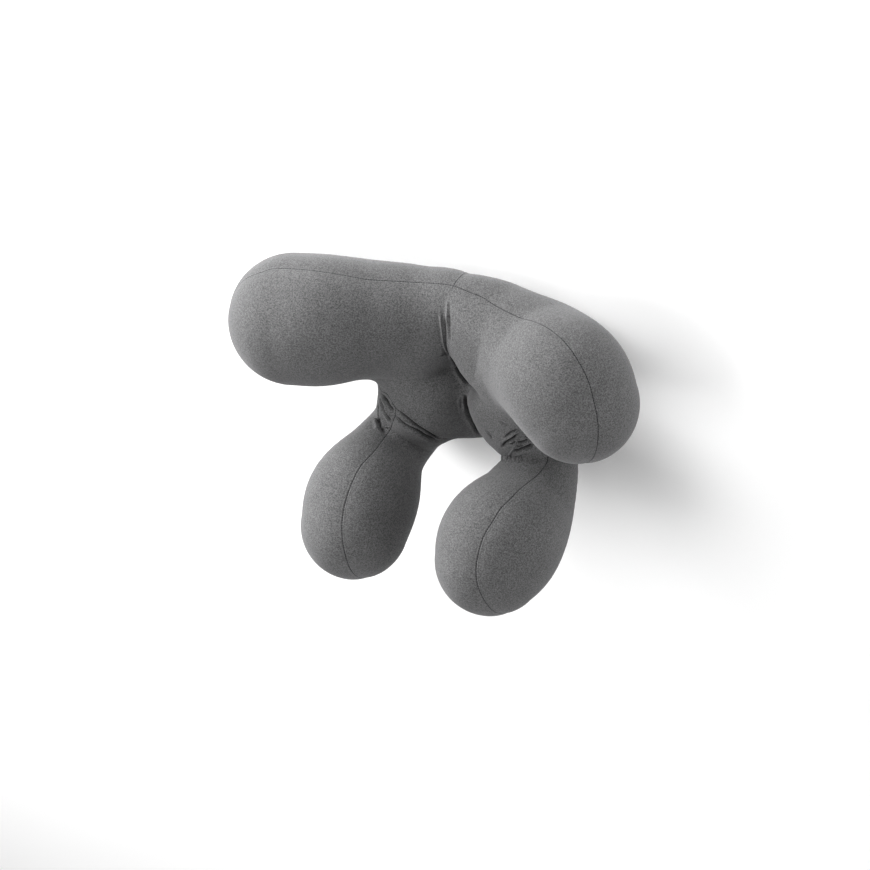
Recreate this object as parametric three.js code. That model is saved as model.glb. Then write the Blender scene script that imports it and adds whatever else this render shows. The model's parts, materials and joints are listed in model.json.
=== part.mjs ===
// Ergonomic head pillow: one sewn, filled knit cover with two thick arms and two teardrop lobes.
// Millimetres, +Z up. The pillow lies on its back: X runs along the arms, +Y points to the top of
// the arms, and +Z is the way its face looks. Mirror plane x = 0, but for the small unevenness of
// a filled cover. The outside is drawn as tapered round limbs that blend into each other.
import * as THREE from 'three';

// ---- driving dimensions --------------------------------------------------------------------
const ARM_BLEND = 14;      // how softly the two halves meet at the centre crease
const SHOULDER_BLEND = 46; // arm into the lobe below it
const WEB_BLEND = 40;      // halves into the thin middle
const REST_LEVEL = -52.5;  // height of the flat resting patch, from the arm roots' axis
const REST_ROUND = 1.5;    // how far the edge of the patch rolls up
const FACET = 11.5;        // size of one facet
const SPAN_STEPS = 5;      // tube pieces between two sections
const RELAX_ROUNDS = 4;    // evening out the facets on the outside
const FINISH_ROUNDS = 3;   // rounding off what is left of the sharp inner folds

// Sections of each limb, from its root to its tip: centre of the section and its radius.
const section = (x, y, z, r) => ({ x, y, z, r });
const RIGHT_ARM = [
  section(50, 8.5, -11, 50),
  section(75.5, 7.5, -3.5, 52.5),
  section(111.5, -4, 10, 65.5),
  section(152.5, 2.5, 41, 69.5),
  section(172.5, -12.5, 53, 64.5),
];
const LEFT_ARM = [
  section(-44, 3.5, -14.5, 48.5),
  section(-69, 2.5, -3, 55.5),
  section(-110, -2.5, 14, 65),
  section(-150, -2.5, 34.5, 73.5),
  section(-186, -6.5, 40.5, 74.5),
];
const RIGHT_LOBE = [
  section(40.5, -52.5, -2.5, 38.5),
  section(62.5, -97.5, -6, 50),
  section(87.5, -162, -8.5, 40),
  section(91, -190.5, 49.5, 56),
  section(87.5, -197, 99.5, 69.5),
  section(83.5, -211.5, 121.5, 62.5),
];
const LEFT_LOBE = [
  section(-49, -54.5, -16.5, 45.5),
  section(-55, -110, -7, 53.5),
  section(-86, -170.5, -9, 42.5),
  section(-94.5, -185, 37.5, 46.5),
  section(-94.5, -200.5, 90, 64),
  section(-91.5, -220, 121, 61.5),
];
const MIDDLE_WEB = [
  section(0, 23, -14.5, 33),
  section(0, -18.5, -26, 29.5),
  section(0, -78, -32.5, 23),
  section(0, -138, -26, 27.5),
];

// Centre crease of the face, from the crotch up to the top seam: how deep it is drawn in, how wide
// its walls are, and how far it wanders to the right of the middle.
const row = (y, depth, wall, x) => ({ y, depth, wall, x });
const CREASE = [
  row(-160, 3, 10, 4),
  row(-125, 6, 10, 5),
  row(-94, 9, 11, 6),
  row(-77, 24, 14, 8),
  row(-60, 36, 17, 9),
  row(-36, 28, 16, 8),
  row(-10, 18, 13, 5),
  row(20, 12, 12, 1),
  row(44, 5, 11, 0),
  row(60, 0, 10, 0),
];
const CREASE_ROUND = 5; // radius of the crease's bottom
const FACE_FROM = -14; // the crease fades in above this height, so the back keeps its shape
const FACE_TO = 10;

// ---- tables to curves ----------------------------------------------------------------------
function catmull(a, b, c, d, t) {
  return 0.5 * (2 * b + (c - a) * t + (2 * a - 5 * b + 4 * c - d) * t * t + (3 * b - a - 3 * c + d) * t * t * t);
}

function tubePieces(sections) {
  const before = {}, after = {}, last = sections.length - 1;
  for (const k of ['x', 'y', 'z', 'r']) {
    before[k] = 2 * sections[0][k] - sections[1][k];
    after[k] = 2 * sections[last][k] - sections[last - 1][k];
  }
  const run = [before, ...sections, after];
  const path = [];
  for (let i = 1; i < run.length - 2; i++) {
    for (let j = 0; j < SPAN_STEPS; j++) {
      const t = j / SPAN_STEPS;
      const at = (k) => catmull(run[i - 1][k], run[i][k], run[i + 1][k], run[i + 2][k], t);
      path.push([at('x'), at('y'), at('z'), at('r')]);
    }
  }
  const tip = sections[last];
  path.push([tip.x, tip.y, tip.z, tip.r]);
  return path.slice(1).map((b, i) => {
    const a = path[i];
    const d = [b[0] - a[0], b[1] - a[1], b[2] - a[2]];
    return { a, d, grow: b[3] - a[3], len2: d[0] * d[0] + d[1] * d[1] + d[2] * d[2] + 1e-9 };
  });
}

function tubeDistance(pieces, x, y, z) {
  let best = 1e9;
  for (const { a, d, grow, len2 } of pieces) {
    const px = x - a[0], py = y - a[1], pz = z - a[2];
    const t = Math.min(1, Math.max(0, (px * d[0] + py * d[1] + pz * d[2]) / len2));
    const dist = Math.hypot(px - t * d[0], py - t * d[1], pz - t * d[2]) - (a[3] + t * grow);
    if (dist < best) best = dist;
  }
  return best;
}

const blend = (a, b, k) => {
  const h = Math.max(k - Math.abs(a - b), 0) / k;
  return Math.min(a, b) - h * h * k * 0.25;
};
const fade = (v, from, to) => {
  const t = Math.min(1, Math.max(0, (v - from) / (to - from)));
  return t * t * (3 - 2 * t);
};

// ---- the outside of the filled cover ---------------------------------------------------------
const limbs = {
  rightArm: tubePieces(RIGHT_ARM),
  leftArm: tubePieces(LEFT_ARM),
  rightLobe: tubePieces(RIGHT_LOBE),
  leftLobe: tubePieces(LEFT_LOBE),
  web: tubePieces(MIDDLE_WEB),
};

function creaseDepth(x, y, z) {
  const last = CREASE.length - 1;
  let i = 0;
  while (i < last - 1 && y > CREASE[i + 1].y) i++;
  const lo = CREASE[i], hi = CREASE[i + 1];
  const t = Math.min(1, Math.max(0, (y - lo.y) / (hi.y - lo.y)));
  const mix = (k) => lo[k] + t * (hi[k] - lo[k]);
  const off = Math.hypot(x - mix('x'), CREASE_ROUND);
  return mix('depth') * Math.exp(-off / mix('wall')) * fade(z, FACE_FROM, FACE_TO);
}

function outside(x, y, z) {
  const right = blend(tubeDistance(limbs.rightArm, x, y, z), tubeDistance(limbs.rightLobe, x, y, z), SHOULDER_BLEND);
  const left = blend(tubeDistance(limbs.leftArm, x, y, z), tubeDistance(limbs.leftLobe, x, y, z), SHOULDER_BLEND);
  const halves = blend(right, left, ARM_BLEND);
  return blend(halves, tubeDistance(limbs.web, x, y, z), WEB_BLEND) + creaseDepth(x, y, z);
}

function slope(x, y, z) {
  const e = 0.5;
  return [
    (outside(x + e, y, z) - outside(x - e, y, z)) / (2 * e),
    (outside(x, y + e, z) - outside(x, y - e, z)) / (2 * e),
    (outside(x, y, z + e) - outside(x, y, z - e)) / (2 * e),
  ];
}

// ---- facets: one point in each box of a regular lattice that the outside passes through -------
function latticeBox() {
  const lo = [1e9, 1e9, 1e9], hi = [-1e9, -1e9, -1e9];
  for (const table of [RIGHT_ARM, LEFT_ARM, RIGHT_LOBE, LEFT_LOBE, MIDDLE_WEB]) {
    for (const s of table) {
      [s.x, s.y, s.z].forEach((v, k) => {
        lo[k] = Math.min(lo[k], v - s.r - 2 * FACET);
        hi[k] = Math.max(hi[k], v + s.r + 2 * FACET);
      });
    }
  }
  return { lo, n: lo.map((v, k) => Math.ceil((hi[k] - v) / FACET) + 1) };
}

function skin() {
  const { lo, n } = latticeBox();
  const id = (i, j, k) => (i * n[1] + j) * n[2] + k;
  const value = new Float64Array(n[0] * n[1] * n[2]);
  for (let i = 0; i < n[0]; i++) {
    for (let j = 0; j < n[1]; j++) {
      for (let k = 0; k < n[2]; k++) {
        value[id(i, j, k)] = outside(lo[0] + i * FACET, lo[1] + j * FACET, lo[2] + k * FACET);
      }
    }
  }
  const corner = [];
  for (let c = 0; c < 8; c++) corner.push([c & 1, (c >> 1) & 1, (c >> 2) & 1]);
  const edges = [[0, 1], [2, 3], [4, 5], [6, 7], [0, 2], [1, 3], [4, 6], [5, 7], [0, 4], [1, 5], [2, 6], [3, 7]];
  const points = [];
  const pointOf = new Map();
  for (let i = 0; i < n[0] - 1; i++) {
    for (let j = 0; j < n[1] - 1; j++) {
      for (let k = 0; k < n[2] - 1; k++) {
        const v = corner.map(([a, b, c]) => value[id(i + a, j + b, k + c)]);
        const sum = [0, 0, 0];
        let count = 0;
        for (const [a, b] of edges) {
          if ((v[a] < 0) === (v[b] < 0)) continue;
          const t = v[a] / (v[a] - v[b]);
          for (let m = 0; m < 3; m++) sum[m] += corner[a][m] + t * (corner[b][m] - corner[a][m]);
          count++;
        }
        if (!count) continue;
        pointOf.set(id(i, j, k), points.length);
        points.push([i, j, k].map((w, m) => lo[m] + FACET * (w + sum[m] / count)));
      }
    }
  }
  const quads = [];
  for (let i = 1; i < n[0] - 1; i++) {
    for (let j = 1; j < n[1] - 1; j++) {
      for (let k = 1; k < n[2] - 1; k++) {
        const here = value[id(i, j, k)] < 0;
        for (let axis = 0; axis < 3; axis++) {
          const step = [0, 0, 0];
          step[axis] = 1;
          if (here === value[id(i + step[0], j + step[1], k + step[2])] < 0) continue;
          const u = [0, 0, 0], w = [0, 0, 0];
          u[(axis + 1) % 3] = 1;
          w[(axis + 2) % 3] = 1;
          const box = (a, b) => pointOf.get(id(i - a * u[0] - b * w[0], j - a * u[1] - b * w[1], k - a * u[2] - b * w[2]));
          const quad = [box(1, 1), box(0, 1), box(0, 0), box(1, 0)];
          quads.push(here ? quad : quad.reverse());
        }
      }
    }
  }
  return { points, quads };
}

function settleOnOutside(points) {
  for (const p of points) {
    for (let round = 0; round < 2; round++) {
      const d = outside(...p);
      const g = slope(...p);
      const g2 = Math.max(0.2, g[0] * g[0] + g[1] * g[1] + g[2] * g[2]);
      const move = Math.max(-4, Math.min(4, d));
      for (let m = 0; m < 3; m++) p[m] -= (move * g[m]) / g2;
    }
  }
}

function relax(points, quads, share) {
  const sum = points.map(() => [0, 0, 0, 0]);
  for (const q of quads) {
    for (let c = 0; c < 4; c++) {
      const a = q[c], b = q[(c + 1) % 4];
      for (const [from, to] of [[a, b], [b, a]]) {
        for (let m = 0; m < 3; m++) sum[to][m] += points[from][m];
        sum[to][3]++;
      }
    }
  }
  points.forEach((p, i) => {
    for (let m = 0; m < 3; m++) p[m] += share * (sum[i][m] / sum[i][3] - p[m]);
  });
}

function pillowGeometry() {
  const { points, quads } = skin();
  for (let round = 0; round < RELAX_ROUNDS; round++) {
    relax(points, quads, 0.5);
    settleOnOutside(points);
  }
  for (let round = 0; round < FINISH_ROUNDS; round++) {
    relax(points, quads, 0.5);
    relax(points, quads, -0.53);
  }
  // the patch of the back that bears on the surface is pressed flat
  for (const p of points) p[2] = -blend(-p[2], -REST_LEVEL, REST_ROUND);
  const positions = new Float32Array(points.length * 3);
  points.forEach((p, i) => positions.set(p, 3 * i));
  const far = (a, b) => Math.hypot(points[a][0] - points[b][0], points[a][1] - points[b][1], points[a][2] - points[b][2]);
  const index = [];
  for (const [a, b, c, d] of quads) {
    if (far(a, c) <= far(b, d)) index.push(a, b, c, a, c, d);
    else index.push(a, b, d, b, c, d);
  }
  const geometry = new THREE.BufferGeometry();
  geometry.setAttribute('position', new THREE.BufferAttribute(positions, 3));
  geometry.setIndex(index);
  // origin: below the middle of the pillow's outline, on the surface that it lies on
  geometry.computeBoundingBox();
  const { min, max } = geometry.boundingBox;
  geometry.translate(-(min.x + max.x) / 2, -(min.y + max.y) / 2, -min.z);
  return geometry;
}

const greyKnit = new THREE.MeshStandardMaterial({ color: 0x6a6a6c, roughness: 0.95, metalness: 0 });
const pillow = new THREE.Mesh(pillowGeometry(), greyKnit);
pillow.name = 'pillow';

const part = new THREE.Group();
part.name = 'ergonomic_head_pillow';
part.add(pillow);

export default part;
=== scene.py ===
"""Ergonomic head pillow in brushed, heathered grey knit, lying on its back on a pale floor.

Shape tables are in millimetres in the limbs' frame: X along the arms, +Y to the top of the arms,
+Z the way the face looks. SHIFT takes them to the row frame. Blender itself works in metres.
"""
import json
import math

import bmesh
import bpy
import numpy as np
from mathutils import Matrix, Vector
from mathutils.kdtree import KDTree

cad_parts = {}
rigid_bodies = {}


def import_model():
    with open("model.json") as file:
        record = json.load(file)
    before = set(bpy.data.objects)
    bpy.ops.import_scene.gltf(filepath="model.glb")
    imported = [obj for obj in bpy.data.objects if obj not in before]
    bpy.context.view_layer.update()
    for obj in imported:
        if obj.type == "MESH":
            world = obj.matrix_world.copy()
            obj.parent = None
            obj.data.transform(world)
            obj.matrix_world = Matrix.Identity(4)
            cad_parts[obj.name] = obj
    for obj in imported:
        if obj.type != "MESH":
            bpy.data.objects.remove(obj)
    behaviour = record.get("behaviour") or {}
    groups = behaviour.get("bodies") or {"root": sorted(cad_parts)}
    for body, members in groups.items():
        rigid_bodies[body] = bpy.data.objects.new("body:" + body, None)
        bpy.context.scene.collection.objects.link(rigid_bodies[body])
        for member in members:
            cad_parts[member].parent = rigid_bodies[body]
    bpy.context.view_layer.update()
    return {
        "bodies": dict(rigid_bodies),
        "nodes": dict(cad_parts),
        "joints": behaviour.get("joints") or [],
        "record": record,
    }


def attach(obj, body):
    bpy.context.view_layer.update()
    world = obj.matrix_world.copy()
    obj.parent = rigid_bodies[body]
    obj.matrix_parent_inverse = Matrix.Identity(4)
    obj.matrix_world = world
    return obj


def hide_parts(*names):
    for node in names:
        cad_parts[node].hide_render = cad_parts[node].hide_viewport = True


SHIFT = np.array([11.672, 104.662, 52.523])  # limbs' frame to row frame, mm
MM = 0.001

# ---- the filled shape -------------------------------------------------------------------------
ARM_BLEND, SHOULDER_BLEND, WEB_BLEND = 14.0, 46.0, 40.0
REST_LEVEL, REST_ROUND = -52.5, 4.0
SPAN_STEPS = 7
# centre of a section and its radius: x, y, z, r
RIGHT_ARM = [(50, 8.5, -11, 50), (75.5, 7.5, -3.5, 52.5), (111.5, -4, 10, 65.5), (152.5, 2.5, 41, 69.5), (172.5, -12.5, 53, 64.5)]
LEFT_ARM = [(-44, 3.5, -14.5, 48.5), (-69, 2.5, -3, 55.5), (-110, -2.5, 14, 65), (-150, -2.5, 34.5, 73.5), (-186, -6.5, 40.5, 74.5)]
RIGHT_LOBE = [(40.5, -52.5, -2.5, 38.5), (62.5, -97.5, -6, 50), (87.5, -162, -8.5, 40), (91, -190.5, 49.5, 56), (87.5, -197, 99.5, 69.5), (83.5, -211.5, 121.5, 62.5)]
LEFT_LOBE = [(-49, -54.5, -16.5, 45.5), (-55, -110, -7, 53.5), (-86, -170.5, -9, 42.5), (-94.5, -185, 37.5, 46.5), (-94.5, -200.5, 90, 64), (-91.5, -220, 121, 61.5)]
WEB = [(0, 23, -14.5, 33), (0, -18.5, -26, 29.5), (0, -78, -32.5, 23), (0, -138, -26, 27.5)]
# centre crease of the face: y, depth, left wall, right wall, x
CREASE = [
    (-160, 1, 10, 10, 12), (-140, 2, 8, 8, 12.5), (-125, 3, 8, 8, 9), (-110, 3, 8, 8, 6.5),
    (-94, 3, 8, 8, 6.5), (-83, 4, 9, 8, 8), (-73, 14, 16, 9, 13), (-66, 32, 20, 11, 16),
    (-59, 44, 24, 14, 15), (-51, 40, 20, 14, 12), (-41, 22, 17, 13, 6), (-31, 11, 14, 10, 0),
    (-20, 7, 9, 6, -3.5), (-8, 5, 7, 6, -3.7), (10, 4, 6, 6, -3.3), (30, 3, 6, 6, -3.3),
    (44, 2, 5, 5, -4), (60, 0, 5, 5, -4),
]
CREASE_ROUND, FACE_FROM, FACE_TO = 2.0, -14.0, 10.0

# ---- seams: x, y, z points that the line passes, set onto the cover -----------------------------
OUTLINE_SEAM = [
    (-90.6, -89, 32.4), (-106, -66, 34), (-124, -62, 40), (-150, -72, 50), (-184, -74, 58), (-216, -58, 66),
    (-240, -28, 70), (-247, 8, 68), (-236.9, 44.8, 58.8), (-214.1, 60.9, 55.4), (-194.7, 67.2, 47.3),
    (-166.9, 70.4, 43.5), (-144.9, 70.7, 39.5), (-123.8, 67.6, 33), (-89.9, 59.5, 19.9), (-44.7, 55.2, 1.5),
    (-18.1, 57.4, -2.6), (-1.2, 58.4, -3.9), (14.9, 58.7, -0.8), (29.3, 58.4, 1.8), (41, 57.7, 3.7),
    (60.3, 56.2, 10.6), (80.8, 57.1, 17.4), (112.1, 64.8, 28.9), (151.9, 71.5, 49.4), (169.8, 67.3, 59.4),
    (186.2, 58.6, 69.9), (199.5, 45.4, 78.8), (207.9, 29.7, 87.1), (213.8, 16.4, 93.3), (216.9, -0.3, 98.2),
    (216.5, -12.9, 100.1), (214.6, -24.6, 100.4), (208.6, -41.1, 98.2), (202.4, -51, 95.3), (184, -68, 82),
    (156, -74, 60), (128, -64, 44), (108, -68, 36), (92, -82, 35),
]
BACK_SEAM = [
    (-1.2, 58.4, -3.9), (-0.9, 59.9, -14.8), (-1, 59.2, -21.8), (-1.6, 56.6, -30.2), (-1, 46, -46),
    (-1, 20, -56), (0, -40, -56), (1, -100, -56), (2, -140, -50), (3, -162, -28),
]
CROTCH_SEAM = [(-26, -148, 16), (-16, -156, -8), (3, -164, -24), (28, -160, -12), (50, -148, 26)]
LEFT_LOBE_SEAM = [
    (-66.3, -98.5, 44), (-66.6, -106.7, 45.1), (-73.8, -124.2, 43), (-81.5, -140.6, 44.2), (-79, -137.8, 76.6),
    (-81.9, -138.9, 102.1), (-82.7, -143, 115.7), (-82.6, -151.8, 134), (-81.9, -164, 149.7),
    (-79.6, -174.8, 161), (-75.3, -189.7, 172), (-70.8, -208.9, 177.9), (-67.9, -230.3, 176.9),
    (-65.8, -249.3, 168.6), (-66, -270, 140), (-73, -272, 105), (-84, -252, 60), (-92, -224, 15),
    (-88, -198, -25), (-80, -165, -46), (-76, -140, -56),
]
RIGHT_LOBE_SEAM = [
    (93, -98, 35), (106, -118, 24), (110, -137.5, 18.5), (110.6, -138.3, 44.4), (107.3, -131.5, 77.9),
    (105.1, -129.8, 100.3), (101, -131.7, 119), (98.8, -137.7, 135.2), (95.4, -146, 149.2), (94.4, -158, 161.5),
    (94.3, -172.2, 170.9), (96, -185.6, 177), (100.2, -200.3, 180.7), (106.4, -218.3, 179.3),
    (110.9, -236.1, 172), (116, -262, 142), (110, -270, 105), (102, -252, 60), (98, -225, 12), (94, -190, -28),
    (88, -165, -46), (82, -140, -56),
]
LEFT_NECK_SEAM = [
    (-90.6, -89, 32.4), (-78.7, -85.1, 39), (-71.1, -91.7, 41.8), (-65.5, -98.1, 44.1), (-47.1, -107.9, 45.8),
    (-33.2, -124.9, 39.4), (-26.2, -142.6, 27.4), (-26, -152, 0), (-36, -154, -30), (-56, -146, -54),
    (-84, -134, -54), (-106, -118, -32), (-110, -100, -5), (-104, -88, 18), (-90.6, -89, 32.4),
]
RIGHT_NECK_SEAM = [
    (92, -82, 35), (89.6, -86.1, 38.8), (84.3, -102.9, 38.9), (79.4, -118.2, 39.2), (69.9, -132.3, 35.9),
    (61.6, -143.4, 34.5), (48, -150, 24), (40, -154, 0), (44, -152, -32), (64, -146, -54), (90, -134, -54),
    (112, -116, -32), (116, -98, -5), (108, -86, 18), (92, -82, 35),
]

# ---- folds of the loose knit: depth (negative stands up), half width, how dark the painted shade along it is, x, y, z points ---
FOLDS = [
    # the centre crease down to the pit, with its thin lips
    (2.8, 1.74, 0.75, [(-3.9, 43, 16.8), (-1.7, 34.7, 21.6), (-0.1, 25.1, 24.9), (0.8, 13.8, 26), (-0.3, -0.8, 23.7), (-1, -9.7, 21.3), (-1.2, -17.8, 18.1), (-4.1, -30.9, 9.3), (-4.9, -41, 3.7), (-4.8, -49.7, -0.3), (16.1, -27, 29.3)]),
    (1.1, 1.46, 0.3, [(4.8, 42, 19.7), (6.5, 32.5, 24.9), (7.8, 21.5, 28.1), (8.8, 8.5, 29)]),
    (-1.6, 1.58, 0, [(-1.3, 49.6, 11.7), (1.4, 42.8, 18.3), (3.4, 33.5, 23.6), (5.1, 23.9, 26.8)]),
    (-1.5, 1.35, 0, [(-7.3, 40.8, 18.9), (-5.4, 29.6, 23.5), (-4, 15.9, 25), (-4.1, -1.2, 22.7), (-4.9, -18.1, 17.3), (-6.6, -35.5, 7.9)]),
    # the pit: its shade painted nearly black
    (8.1, 2.4, 1, [(-5.6, -52.4, -0.7), (-4.6, -56.5, -1.9), (-2.3, -61.9, -2.2), (0.7, -66.3, -1.6), (4.8, -70.2, -0.8), (8.9, -72.3, 0.5)]),
    # below the pit
    (3.7, 1.87, 0.95, [(6.3, -81.1, 5.2), (7, -86.5, 7.3), (7, -92.2, 7.5), (7, -99.5, 7.4), (7.7, -106.9, 7), (8.5, -115.4, 6.2), (9.8, -122, 5.7), (12.1, -133.2, 4.7), (13.7, -141.3, 3.1), (14, -150.4, -1.3)]),
    (-0.9, 1.36, 0, [(3.5, -83, 7.5), (2.7, -95.4, 8.8), (2.4, -108.3, 9.1)]),
    (0.5, 1.53, 0.1, [(0.5, -89.5, 9.7), (0.2, -107.1, 11.5)]),
    (1.6, 1.66, 0.5, [(49.2, -95.6, 42.4), (52.4, -100.7, 42.9), (55.9, -108, 42.5)]),
    # left neck: the gathered side panel, and the double crease across the front
    (1.9, 2.08, 0.4, [(-86.3, -91.5, 35.2), (-79.3, -93, 38.9), (-72.1, -95.1, 41.9)]),
    (4, 2.39, 0.85, [(-91, -93.1, 32), (-83.9, -95.3, 36.8), (-77.4, -98.6, 40.5), (-72.3, -101.7, 43), (-68.2, -104.1, 44.5)]),
    (4.2, 3.25, 0.9, [(-94.1, -101.7, 29.7), (-89.7, -107.5, 33.8), (-84, -112.7, 38.2), (-79.3, -118.6, 41), (-75.9, -125.9, 42.3)]),
    (-1.5, 3.12, 0, [(-83.9, -104.8, 37.8), (-78.8, -109, 40.9), (-73.6, -113, 43.1)]),
    (3.7, 1.98, 0.7, [(-99.7, -115.8, 25.9), (-102.2, -130.6, 25.1), (-100.4, -138.7, 28.4), (-91.6, -138.6, 38.4), (-83.1, -140, 46.5)]),
    (-1.8, 3.9, 0, [(-94.3, -113.3, 30.9), (-92.8, -122.1, 33.3), (-90.9, -132.1, 34), (-86, -139.3, 38.2)]),
    (-1.7, 1.97, 0, [(-108.3, -140.7, 24.2), (-100.1, -138.8, 36.7), (-92.9, -138.6, 45.5)]),
    (3.2, 1.61, 0.85, [(-64.8, -98.1, 44.3), (-59.3, -101.2, 45.6), (-50.6, -106.5, 46.2), (-43.1, -113.6, 45), (-36.5, -120.6, 42.1), (-31.1, -128.8, 37), (-27.5, -137.3, 31), (-23, -144.9, 23.9)]),
    (4.8, 2.57, 0.95, [(-67.6, -106.8, 44.9), (-62.3, -112.5, 46), (-55, -116.4, 46.1), (-47, -119.7, 45), (-40.6, -124.9, 42.4), (-35.7, -133.3, 37.7), (-31.8, -141.8, 32.2), (-29.3, -152.6, 23.3)]),
    (-1.3, 1.73, 0, [(-62.2, -104.5, 45.8), (-53.5, -110.8, 46.5), (-44.7, -117.1, 45), (-37.5, -125.5, 41.2), (-31.8, -135.7, 34.6)]),
    # right neck: short puckers fanning out across the seam
    (2.6, 1.38, 0.65, [(71.3, -99.3, 43.3), (76.4, -93.6, 42.5), (81.7, -88.7, 41.3), (87.8, -85.9, 39.5)]),
    (-1.4, 1.41, 0, [(74.6, -99.6, 42.6), (80.6, -94.2, 41.3), (86.4, -89.1, 39.7)]),
    (3.4, 1.5, 0.95, [(64.7, -117.1, 40.8), (70.3, -108.7, 42.1), (75.8, -103.2, 41.9), (81.2, -99, 40.7), (85.6, -93.5, 39.6)]),
    (2, 1.44, 0.7, [(74.6, -107.8, 41.5), (79, -108.3, 40.4), (83.3, -103.7, 39.2)]),
    (2.9, 1.64, 0.85, [(83.7, -105.9, 38.9), (88, -105.8, 37), (92.5, -104.2, 34.7), (95.9, -103.4, 32.6)]),
    (2.2, 1.43, 0.7, [(81.9, -112.3, 39.3), (86.6, -111.6, 37.6), (90.4, -108.9, 35.9)]),
    (-1.4, 1.44, 0, [(84.2, -109.1, 38.6), (89.3, -108.5, 36.4)]),
    (4.8, 2.12, 1, [(77.4, -122.1, 38.8), (83.6, -119, 37.8), (90.2, -115.2, 35.6), (96.2, -112.6, 32.2), (99.8, -112, 29.4)]),
    (0.8, 1.69, 0.22, [(62.3, -143, 32.9), (70, -138.7, 33.9), (79.3, -132.2, 35.1)]),
    (0.9, 1.72, 0.2, [(82.8, -128.1, 35.3), (91.6, -122.6, 33.2)]),
    (1.2, 2.08, 0.3, [(68.6, -74.2, 44.6), (72.8, -78.4, 44), (79.1, -78.1, 43)]),
    (-1.2, 1.02, 0, [(89.4, -88.3, 38.6), (86.1, -96.2, 39), (83.1, -104.2, 39.3), (80.8, -111.2, 39.6), (77.1, -118.9, 39.6), (69.7, -132.4, 35.9), (62.3, -143, 32.9)]),
]

# ---- curves and distances ---------------------------------------------------------------------


def catmull(points, steps):
    p = np.array(points, float)
    p = np.vstack([2 * p[0] - p[1], p, 2 * p[-1] - p[-2]])
    t = np.linspace(0, 1, steps, endpoint=False)[:, None]
    out = []
    for a, b, c, d in zip(p[:-3], p[1:-2], p[2:-1], p[3:]):
        out.append(0.5 * (2 * b + (c - a) * t + (2 * a - 5 * b + 4 * c - d) * t**2 + (3 * b - a - 3 * c + d) * t**3))
    return np.vstack(out + [p[-2:-1]])


def tube(points, sections):
    best = np.full(len(points), 1e9)
    for a, b in zip(sections[:-1], sections[1:]):
        d = b[:3] - a[:3]
        rel = points - a[:3]
        t = np.clip(rel @ d / (d @ d + 1e-9), 0, 1)
        rel -= t[:, None] * d
        np.minimum(best, np.sqrt(np.einsum("ij,ij->i", rel, rel)) - (a[3] + t * (b[3] - a[3])), out=best)
    return best


def blend(a, b, k):
    h = np.maximum(k - np.abs(a - b), 0) / k
    return np.minimum(a, b) - h * h * k * 0.25


def fade(v, lo, hi):
    t = np.clip((v - lo) / (hi - lo), 0, 1)
    return t * t * (3 - 2 * t)


LIMBS = {name: catmull(t, SPAN_STEPS) for name, t in (
    ("ra", RIGHT_ARM), ("la", LEFT_ARM), ("rl", RIGHT_LOBE), ("ll", LEFT_LOBE), ("web", WEB))}
CREASE_ROWS = np.array(CREASE, float)


def outside(p):
    """Signed distance, in mm, from the filled cover's outside."""
    right = blend(tube(p, LIMBS["ra"]), tube(p, LIMBS["rl"]), SHOULDER_BLEND)
    left = blend(tube(p, LIMBS["la"]), tube(p, LIMBS["ll"]), SHOULDER_BLEND)
    body = blend(blend(right, left, ARM_BLEND), tube(p, LIMBS["web"]), WEB_BLEND)
    depth, left, right, x0 = (np.interp(p[:, 1], CREASE_ROWS[:, 0], CREASE_ROWS[:, k]) for k in (1, 2, 3, 4))
    x = p[:, 0] - x0
    wall = left + (right - left) * fade(x, -4, 4)
    dent = depth * np.exp(-np.hypot(x, CREASE_ROUND) / wall) * fade(p[:, 2], FACE_FROM, FACE_TO)
    return body + dent


def slope(p, d0, e=0.4):
    return np.stack([(outside(p + e * axis) - d0) / e for axis in np.eye(3)], -1)


def settle(p, level=0.0, rounds=2):
    """Moves points onto the outside, or to a level above or below it."""
    p = np.array(p, float)
    for _ in range(rounds):
        d = outside(p)
        g = slope(p, d)
        move = np.clip(d - level, -4, 4) / np.maximum(0.25, np.einsum("ij,ij->i", g, g))
        p -= move[:, None] * g
    return p


def outward(p):
    g = slope(p, outside(p))
    return g / (np.linalg.norm(g, axis=1)[:, None] + 1e-9)


def on_cover(points, step=1.0):
    """A smooth line over the cover through the points: positions, directions, outward normals, length so far."""
    line = settle(catmull(points, 8), rounds=8)
    line[:, 2] = np.maximum(line[:, 2], REST_LEVEL)
    seg = np.linalg.norm(np.diff(line, axis=0), axis=1)
    s = np.concatenate([[0], np.cumsum(seg)])
    keep = np.concatenate([[True], np.diff(s) > 1e-6])
    s, line = s[keep], line[keep]
    n = max(3, int(s[-1] / step) + 1)
    at = np.linspace(0, s[-1], n)
    line = np.stack([np.interp(at, s, line[:, k]) for k in range(3)], -1)
    for _ in range(6):
        line[1:-1] = 0.25 * line[:-2] + 0.5 * line[1:-1] + 0.25 * line[2:]
    d = np.gradient(line, axis=0)
    d /= np.linalg.norm(d, axis=1)[:, None] + 1e-9
    return line, d, outward(line), at


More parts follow.
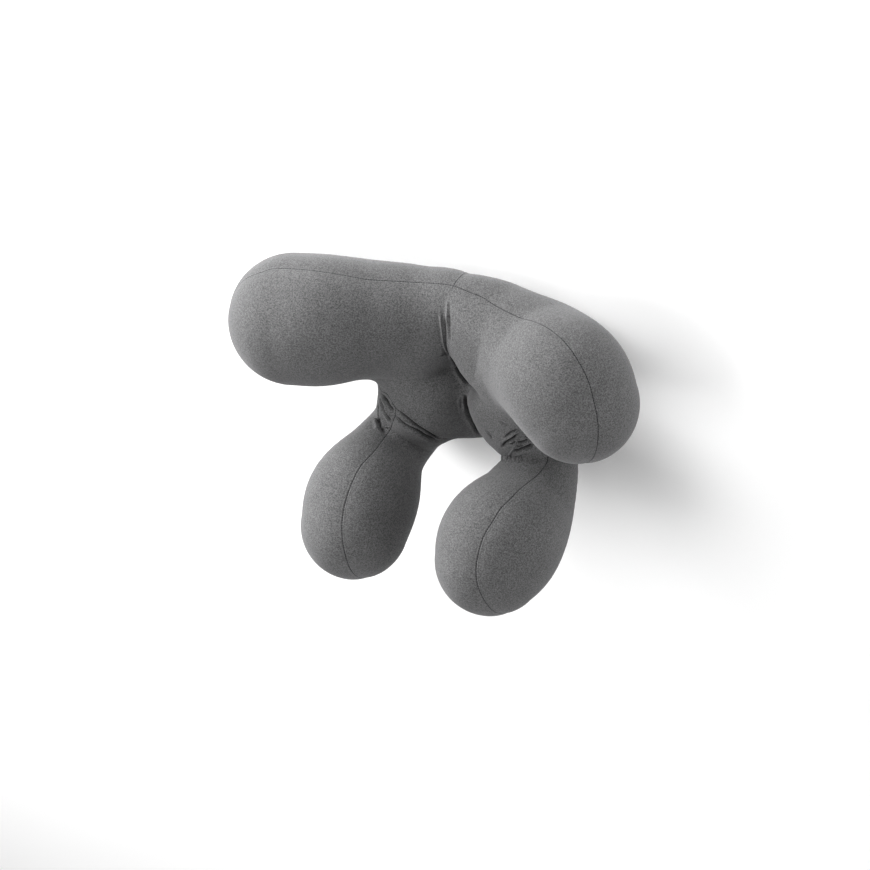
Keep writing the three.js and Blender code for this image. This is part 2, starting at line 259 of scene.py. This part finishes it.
def beside(p, curve, reach):
    """Distance to the side of a line on the cover (its sign tells the side), distance along it, and how near it is."""
    line, d, g, at = curve
    tree = KDTree(len(line))
    for i, c in enumerate(line.tolist()):
        tree.insert(c, i)
    tree.balance()
    side = np.full(len(p), 1e3)
    along = np.zeros(len(p))
    near = np.full(len(p), 1e3)
    lo, hi = line.min(0) - reach, line.max(0) + reach
    box = np.nonzero(np.all((p > lo) & (p < hi), axis=1))[0]
    if len(box):
        found = [tree.find(q)[1:] for q in p[box].tolist()]
        j = np.array([f[0] for f in found])
        dist = np.array([f[1] for f in found])
        ok = dist < reach
        box, j, dist = box[ok], j[ok], dist[ok]
        rel = p[box] - line[j]
        a = np.einsum("ij,ij->i", rel, d[j])
        h = np.einsum("ij,ij->i", rel, np.cross(d[j], g[j]))
        past = ((j == 0) & (a < 0)) | ((j == len(line) - 1) & (a > 0))
        side[box] = np.where(h < 0, -1, 1) * np.hypot(h, np.where(past, a, 0))
        along[box] = at[j] + a
        near[box] = dist
    return side, along, near


# ---- mesh work --------------------------------------------------------------------------------


def coords(mesh):
    co = np.empty(len(mesh.vertices) * 3, np.float32)
    mesh.vertices.foreach_get("co", co)
    return co.reshape(-1, 3).astype(float)


def set_coords(mesh, p):
    mesh.vertices.foreach_set("co", np.asarray(p, np.float32).ravel())
    mesh.update()


def normals(mesh):
    mesh.update()
    n = np.empty(len(mesh.vertices) * 3, np.float32)
    mesh.vertex_normals.foreach_get("vector", n)
    return n.reshape(-1, 3).astype(float)


def edge_ends(mesh):
    e = np.empty(len(mesh.edges) * 2, np.int32)
    mesh.edges.foreach_get("vertices", e)
    return e.reshape(-1, 2)


def smoothed(values, ends, count, rounds, share=0.5):
    degree = np.bincount(ends.ravel(), minlength=count).astype(float)
    v = np.array(values, float)
    flat = v.ndim == 1
    if flat:
        v = v[:, None]
    for _ in range(rounds):
        total = np.zeros_like(v)
        for k in range(v.shape[1]):
            total[:, k] = np.bincount(ends[:, 0], v[ends[:, 1], k], count) + np.bincount(ends[:, 1], v[ends[:, 0], k], count)
        v += share * (total / degree[:, None] - v)
    return v[:, 0] if flat else v


def keep_value(mesh, name, values):
    a = mesh.attributes.get(name) or mesh.attributes.new(name, "FLOAT", "POINT")
    a.data.foreach_set("value", np.asarray(values, np.float32))


def kept_value(mesh, name):
    v = np.empty(len(mesh.vertices), np.float32)
    mesh.attributes[name].data.foreach_get("value", v)
    return v.astype(float)


def applied(obj):
    """The object's mesh with its modifiers applied."""
    dg = bpy.context.evaluated_depsgraph_get()
    mesh = bpy.data.meshes.new_from_object(obj.evaluated_get(dg))
    obj.modifiers.clear()
    old = obj.data
    obj.data = mesh
    bpy.data.meshes.remove(old)
    return mesh


VOXEL = 0.006
PRESSURE = 4.0
SWELL_CAP = 2.2     # most that a point may rise or fall, mm
SEAM_HOLD = 0.7     # how far the seams are held below the crown, mm
FINE_REACH = (7.5, 3.4)  # the mesh is split once more within each of these distances of a fold, mm


def fill_out(obj, seam_near):
    """Pressure in the cover with the seams held, so that its panels crown between them: the rise of each point, mm."""
    mesh = obj.data
    start = coords(mesh)
    hold = obj.vertex_groups.new(name="held_at_seams")
    w = np.clip(1.15 - seam_near / 4.5, 0, 1)
    for level in (0.25, 0.5, 0.75, 1.0):
        ids = np.nonzero((w > level - 0.25) & (w <= level))[0]
        if len(ids):
            hold.add([int(i) for i in ids], level, "REPLACE")
    cloth = obj.modifiers.new("filling", "CLOTH")
    s = cloth.settings
    s.quality = 4
    s.mass = 0.25
    s.tension_stiffness = 6
    s.compression_stiffness = 6
    s.shear_stiffness = 3
    s.bending_stiffness = 0.6
    s.use_pressure = True
    s.uniform_pressure_force = PRESSURE
    s.vertex_group_mass = hold.name
    s.pin_stiffness = 1.0
    s.effector_weights.gravity = 0
    cloth.collision_settings.use_collision = False
    cloth.collision_settings.use_self_collision = False
    scene = bpy.context.scene
    scene.frame_start, scene.frame_end = 1, 20
    for frame in range(1, 21):
        scene.frame_set(frame)
    dg = bpy.context.evaluated_depsgraph_get()
    seen = obj.evaluated_get(dg)
    end = coords(seen.to_mesh())
    seen.to_mesh_clear()
    obj.modifiers.clear()
    obj.vertex_groups.clear()
    scene.frame_set(1)
    return np.einsum("ij,ij->i", end - start, normals(mesh)) / MM


def finer(mesh, near, reach):
    """Splits the faces close to folds once more."""
    bm = bmesh.new()
    bm.from_mesh(mesh)
    bm.verts.ensure_lookup_table()
    edges = set()
    for f in bm.faces:
        if min(near[v.index] for v in f.verts) < reach:
            edges.update(f.edges)
    bmesh.ops.subdivide_edges(bm, edges=list(edges), cuts=1, use_grid_fill=True)
    bm.to_mesh(mesh)
    bm.free()
    mesh.update()


def dress(frame):
    src = frame["nodes"]["pillow"]
    mesh = src.data.copy()
    obj = bpy.data.objects.new("knit_cover", mesh)
    bpy.context.scene.collection.objects.link(obj)
    even = obj.modifiers.new("even", "REMESH")
    even.mode = "VOXEL"
    even.voxel_size = VOXEL
    even.use_smooth_shade = True
    mesh = applied(obj)

    seams = {
        "outline": on_cover(OUTLINE_SEAM),
        "back": on_cover(BACK_SEAM),
        "crotch": on_cover(CROTCH_SEAM),
        "lobe_l": on_cover(LEFT_LOBE_SEAM),
        "lobe_r": on_cover(RIGHT_LOBE_SEAM),
        "neck_l": on_cover(LEFT_NECK_SEAM),
        "neck_r": on_cover(RIGHT_NECK_SEAM),
    }
    folds = [(depth, width, dark, on_cover(points, 0.5)) for depth, width, dark, points in FOLDS]

    # an even, facet-free outside, filled out under pressure
    p = settle(coords(mesh) / MM - SHIFT, rounds=2)
    ends = edge_ends(mesh)
    p = smoothed(p, ends, len(p), 2, 0.4)
    p = settle(p, rounds=1)
    set_coords(mesh, (p + SHIFT) * MM)
    near = np.full(len(p), 1e3)
    for curve in seams.values():
        near = np.minimum(near, beside(p, curve, 16.0)[2])
    crown = SEAM_HOLD * (1 - np.exp(-((near / 9.0) ** 2)))
    rise = fill_out(obj, near)
    print("rise mm", np.percentile(rise, [1, 10, 50, 90, 99]).round(2))
    far = near > 15.0
    rise = np.clip(rise - np.median(rise[far]), -SWELL_CAP, SWELL_CAP)
    swell = crown + smoothed(rise, ends, len(p), 3, 0.5)
    keep_value(mesh, "swell", swell - SEAM_HOLD)

    sub = obj.modifiers.new("fine", "SUBSURF")
    sub.levels = sub.render_levels = 1
    mesh = applied(obj)
    for reach in FINE_REACH:
        p = coords(mesh) / MM - SHIFT
        near = np.full(len(p), 1e3)
        for *_, curve in folds:
            near = np.minimum(near, beside(p, curve, reach + 1)[2])
        finer(mesh, near, reach)

    p = coords(mesh) / MM - SHIFT
    p = settle(p, level=kept_value(mesh, "swell"), rounds=2)
    n = outward(p)

    # folds of the loose knit, each with a soft lip either side, and painted shade along its core
    dent = np.zeros(len(p))
    painted_shade = np.zeros(len(p))
    for depth, width, dark, curve in folds:
        side, along, _ = beside(p, curve, 5 * width + 2)
        length = curve[3][-1]
        run_out = fade(along, -1, 0.18 * length + 1) * fade(length - along, -1, 0.18 * length + 1)
        x = side / width
        dent += -depth * run_out * (np.exp(-x * x) - 0.22 * np.exp(-((np.abs(x) - 2.0) ** 2) / 0.8))
        painted_shade = np.maximum(painted_shade, dark * run_out * np.exp(-0.8 * x * x))
    p += dent[:, None] * n
    # painted shade, read by the knit material to darken its colour in the folds
    keep_value(mesh, "painted_fold_shade", painted_shade)

    # the cloth is drawn in along each seam; the seam itself is worked in the weave below
    for name, curve in seams.items():
        side, along, near = beside(p, curve, 12.0)
        p -= np.where(near < 12.0, 0.35 * np.exp(-((side / 2.6) ** 2)), 0)[:, None] * n
        keep_value(mesh, "side_" + name, np.where(near < 12.0, side, 50.0))
        keep_value(mesh, "along_" + name, along)

    # where it bears on the floor the cover is pressed flat
    p[:, 2] = -blend(-p[:, 2], np.full(len(p), -REST_LEVEL), REST_ROUND)
    set_coords(mesh, (p + SHIFT) * MM)
    mesh.shade_smooth()
    obj.data.name = "knit_cover"
    return obj


# ---- materials --------------------------------------------------------------------------------


class Nodes:
    """Short hand for building a node tree."""

    def __init__(self, name):
        self.material = bpy.data.materials.new(name)
        self.material.use_nodes = True
        self.tree = self.material.node_tree
        self.tree.nodes.clear()

    def add(self, kind, **settings):
        node = self.tree.nodes.new(kind)
        for key, value in settings.items():
            setattr(node, key, value)
        return node

    def link(self, a, b):
        self.tree.links.new(a, b)

    def math(self, operation, a, b=None, c=None, clamp=False):
        node = self.add("ShaderNodeMath", operation=operation, use_clamp=clamp)
        for i, v in enumerate((a, b, c)):
            if v is None:
                continue
            if isinstance(v, (int, float)):
                node.inputs[i].default_value = v
            else:
                self.link(v, node.inputs[i])
        return node.outputs[0]

    def noise(self, vector, scale, detail=2.0, roughness=0.5):
        node = self.add("ShaderNodeTexNoise")
        node.inputs["Scale"].default_value = scale
        node.inputs["Detail"].default_value = detail
        node.inputs["Roughness"].default_value = roughness
        self.link(vector, node.inputs["Vector"])
        return node.outputs["Fac"]

    def attribute(self, name):
        return self.add("ShaderNodeAttribute", attribute_name=name).outputs["Fac"]

    def step(self, value, lo, hi, out_lo=0.0, out_hi=1.0):
        node = self.add("ShaderNodeMapRange", interpolation_type="SMOOTHSTEP")
        for i, v in enumerate((lo, hi, out_lo, out_hi)):
            node.inputs[i + 1].default_value = v
        self.link(value, node.inputs[0])
        return node.outputs[0]

    def mix(self, factor, a, b):
        node = self.add("ShaderNodeMix", data_type="RGBA")
        colours = [s for s in node.inputs if s.type == "RGBA"]
        self.link(factor, node.inputs[0])
        for socket, v in zip(colours, (a, b)):
            if isinstance(v, tuple):
                socket.default_value = (*v, 1.0)
            else:
                self.link(v, socket)
        return [s for s in node.outputs if s.type == "RGBA"][0]


SEAM_NAMES = ("outline", "back", "crotch", "lobe_l", "lobe_r", "neck_l", "neck_r")
LAID_FLAT = ("neck_r",)  # its two edges are pressed open, so that its hairline is faint
STITCH = 2.9  # mm


def heathered_knit():
    m = Nodes("heathered_knit")
    out = m.add("ShaderNodeOutputMaterial")
    shader = m.add("ShaderNodeBsdfPrincipled")
    m.link(shader.outputs["BSDF"], out.inputs["Surface"])
    place = m.add("ShaderNodeTexCoord").outputs["Object"]

    # fibres of several greys, mixed before spinning
    fibre = m.noise(place, 1500.0, 2.0, 0.6)
    tuft = m.noise(place, 620.0, 2.0, 0.6)
    cloud = m.noise(place, 30.0, 3.0, 0.55)
    grain = m.math("ADD", m.math("MULTIPLY", fibre, 0.5), m.math("MULTIPLY", tuft, 0.5))
    tone = m.step(grain, 0.38, 0.62, 0.50, 1.56)
    tone = m.math("MULTIPLY", tone, m.math("MULTIPLY_ADD", cloud, 0.30, 0.85))
    hsv = m.add("ShaderNodeHueSaturation")
    hsv.inputs["Color"].default_value = (0.0775, 0.0773, 0.0781, 1)
    m.link(tone, hsv.inputs["Value"])
    colour = hsv.outputs["Color"]

    # the seam: a dark hairline between the two cloth edges, darkest where each stitch pulls
    line, welt = None, None
    for name in SEAM_NAMES:
        side = m.math("ABSOLUTE", m.attribute("side_" + name))
        beat = m.math("COSINE", m.math("MULTIPLY", m.attribute("along_" + name), 2 * math.pi / STITCH))
        edge = m.math("MULTIPLY_ADD", beat, 0.22, 0.62)
        hair = m.math("SUBTRACT", 1.0, m.math("DIVIDE", side, edge, clamp=True))
        if name in LAID_FLAT:
            hair = m.math("MULTIPLY", hair, 0.25)
        line = hair if line is None else m.math("MAXIMUM", line, hair)
        far = m.math("ABSOLUTE", m.math("SUBTRACT", side, 1.7))
        lip = m.math("SUBTRACT", 1.0, m.math("DIVIDE", far, 1.4, clamp=True))
        welt = lip if welt is None else m.math("MAXIMUM", welt, lip)
    seam = m.step(line, 0.0, 0.55)
    colour = m.mix(seam, colour, (0.006, 0.006, 0.007))
    # painted shade: deep in a fold little light reaches the cloth, so there the colour is darkened nearly to black
    fold = m.step(m.attribute("painted_fold_shade"), 0.05, 1.0)
    m.link(m.mix(m.math("MULTIPLY", fold, 0.95), colour, (0.001, 0.001, 0.001)), shader.inputs["Base Color"])

    # the seam's small relief, and a nap of short fibres over fine knit courses
    relief = m.math("SUBTRACT", m.math("MULTIPLY", m.step(welt, 0.0, 1.0), 0.45), line)
    seam_bump = m.add("ShaderNodeBump")
    seam_bump.inputs["Strength"].default_value = 0.8
    seam_bump.inputs["Distance"].default_value = 0.0006
    m.link(relief, seam_bump.inputs["Height"])
    soft = m.add("ShaderNodeBump")
    soft.inputs["Strength"].default_value = 0.22
    soft.inputs["Distance"].default_value = 0.0012
    m.link(tuft, soft.inputs["Height"])
    m.link(seam_bump.outputs["Normal"], soft.inputs["Normal"])
    bump = m.add("ShaderNodeBump")
    bump.inputs["Strength"].default_value = 0.30
    bump.inputs["Distance"].default_value = 0.0005
    m.link(fibre, bump.inputs["Height"])
    m.link(soft.outputs["Normal"], bump.inputs["Normal"])
    m.link(bump.outputs["Normal"], shader.inputs["Normal"])
    m.link(m.step(tuft, 0.3, 0.7, 0.86, 0.98), shader.inputs["Roughness"])
    shader.inputs["Specular IOR Level"].default_value = 0.2
    shader.inputs["Sheen Weight"].default_value = 0.165
    shader.inputs["Sheen Roughness"].default_value = 0.5
    shader.inputs["Sheen Tint"].default_value = (0.98, 0.98, 1.0, 1)
    return m.material


def pale_floor():
    m = Nodes("pale_floor")
    out = m.add("ShaderNodeOutputMaterial")
    shader = m.add("ShaderNodeBsdfPrincipled")
    m.link(shader.outputs["BSDF"], out.inputs["Surface"])
    shader.inputs["Base Color"].default_value = (0.86, 0.86, 0.86, 1)
    shader.inputs["Roughness"].default_value = 0.9
    shader.inputs["Specular IOR Level"].default_value = 0.1
    # a white table lit a little from within
    shader.inputs["Emission Color"].default_value = (1, 1, 1, 1)
    shader.inputs["Emission Strength"].default_value = 0.15
    return m.material


# ---- studio -----------------------------------------------------------------------------------

# the camera's right, up and back directions in the row frame
VIEW_RIGHT = Vector((0.8813, -0.0942, -0.4631))
VIEW_UP = Vector((-0.2363, 0.7608, -0.6045))
VIEW_BACK = Vector((0.4092, 0.6421, 0.6482))
VIEW_DISTANCE, VIEW_X, VIEW_Y = 2860.0, -24.516, -115.504
LENS_PX, FRAME_PX = 2600.0, 870.0

# soft lights: bearing from +X, height angle, distance m, width m, height m, watts
LIGHTS = [
    ("key", 150, 8, 2.0, 1.2, 0.7, 78.0),
    ("left_high", 180, 52, 2.0, 1.2, 1.2, 25.0),
    ("top_side", 90, 28, 2.0, 1.2, 1.2, 25.0),
    ("top_right", 55, 28, 2.0, 1.2, 1.2, 7.0),
    ("low_side", 330, 8, 2.0, 1.2, 0.7, 15.0),
    ("front_high", 225, 52, 2.0, 1.2, 1.2, 9.0),
    ("right_low", 0, 8, 2.0, 1.2, 0.7, 9.0),
    ("top_low", 120, 8, 2.0, 1.2, 0.7, 5.5),
    ("above", 240, 80, 2.0, 1.2, 1.2, 5.0),
]
WORLD = 0.01


def studio():
    scene = bpy.context.scene
    cam = bpy.data.objects.new("camera", bpy.data.cameras.new("camera"))
    scene.collection.objects.link(cam)
    r, u, b = VIEW_RIGHT.normalized(), VIEW_UP.normalized(), VIEW_BACK.normalized()
    at = np.array(b) * VIEW_DISTANCE + np.array(r) * VIEW_X + np.array(u) * VIEW_Y + SHIFT
    turn = Matrix((r, u, b)).transposed()
    cam.matrix_world = Matrix.Translation(Vector(at * MM)) @ turn.to_4x4()
    cam.data.sensor_width = 36.0
    cam.data.lens = 36.0 * LENS_PX / FRAME_PX
    cam.data.clip_start, cam.data.clip_end = 0.05, 50
    scene.camera = cam

    mesh = bpy.data.meshes.new("floor")
    s = 6.0
    mesh.from_pydata([(-s, -s, 0), (s, -s, 0), (s, s, 0), (-s, s, 0)], [], [(0, 1, 2, 3)])
    floor = bpy.data.objects.new("floor", mesh)
    floor.location.z = -0.0003
    mesh.materials.append(pale_floor())
    scene.collection.objects.link(floor)

    middle = Vector((0, 0, 0.1))
    for name, bearing, height, distance, wide, tall, watts in LIGHTS:
        data = bpy.data.lights.new(name, "AREA")
        data.shape = "RECTANGLE"
        data.size, data.size_y = wide, tall
        data.energy = watts
        lamp = bpy.data.objects.new(name, data)
        a, h = math.radians(bearing), math.radians(height)
        d = Vector((math.cos(h) * math.cos(a), math.cos(h) * math.sin(a), math.sin(h)))
        lamp.location = middle + d * distance
        lamp.location.z = max(lamp.location.z, tall / 2 + 0.03)
        lamp.rotation_mode = "QUATERNION"
        lamp.rotation_quaternion = d.to_track_quat("Z", "Y")
        scene.collection.objects.link(lamp)
    world = bpy.data.worlds.new("studio")
    world.use_nodes = True
    world.node_tree.nodes["Background"].inputs[0].default_value = (1, 1, 1, 1)
    world.node_tree.nodes["Background"].inputs[1].default_value = WORLD
    scene.world = world
    scene.view_settings.view_transform = "Standard"


def main():
    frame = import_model()
    cover = dress(frame)
    cover.data.materials.clear()
    cover.data.materials.append(heathered_knit())
    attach(cover, "root")
    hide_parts("pillow")
    studio()


if __name__ == "__main__":
    main()
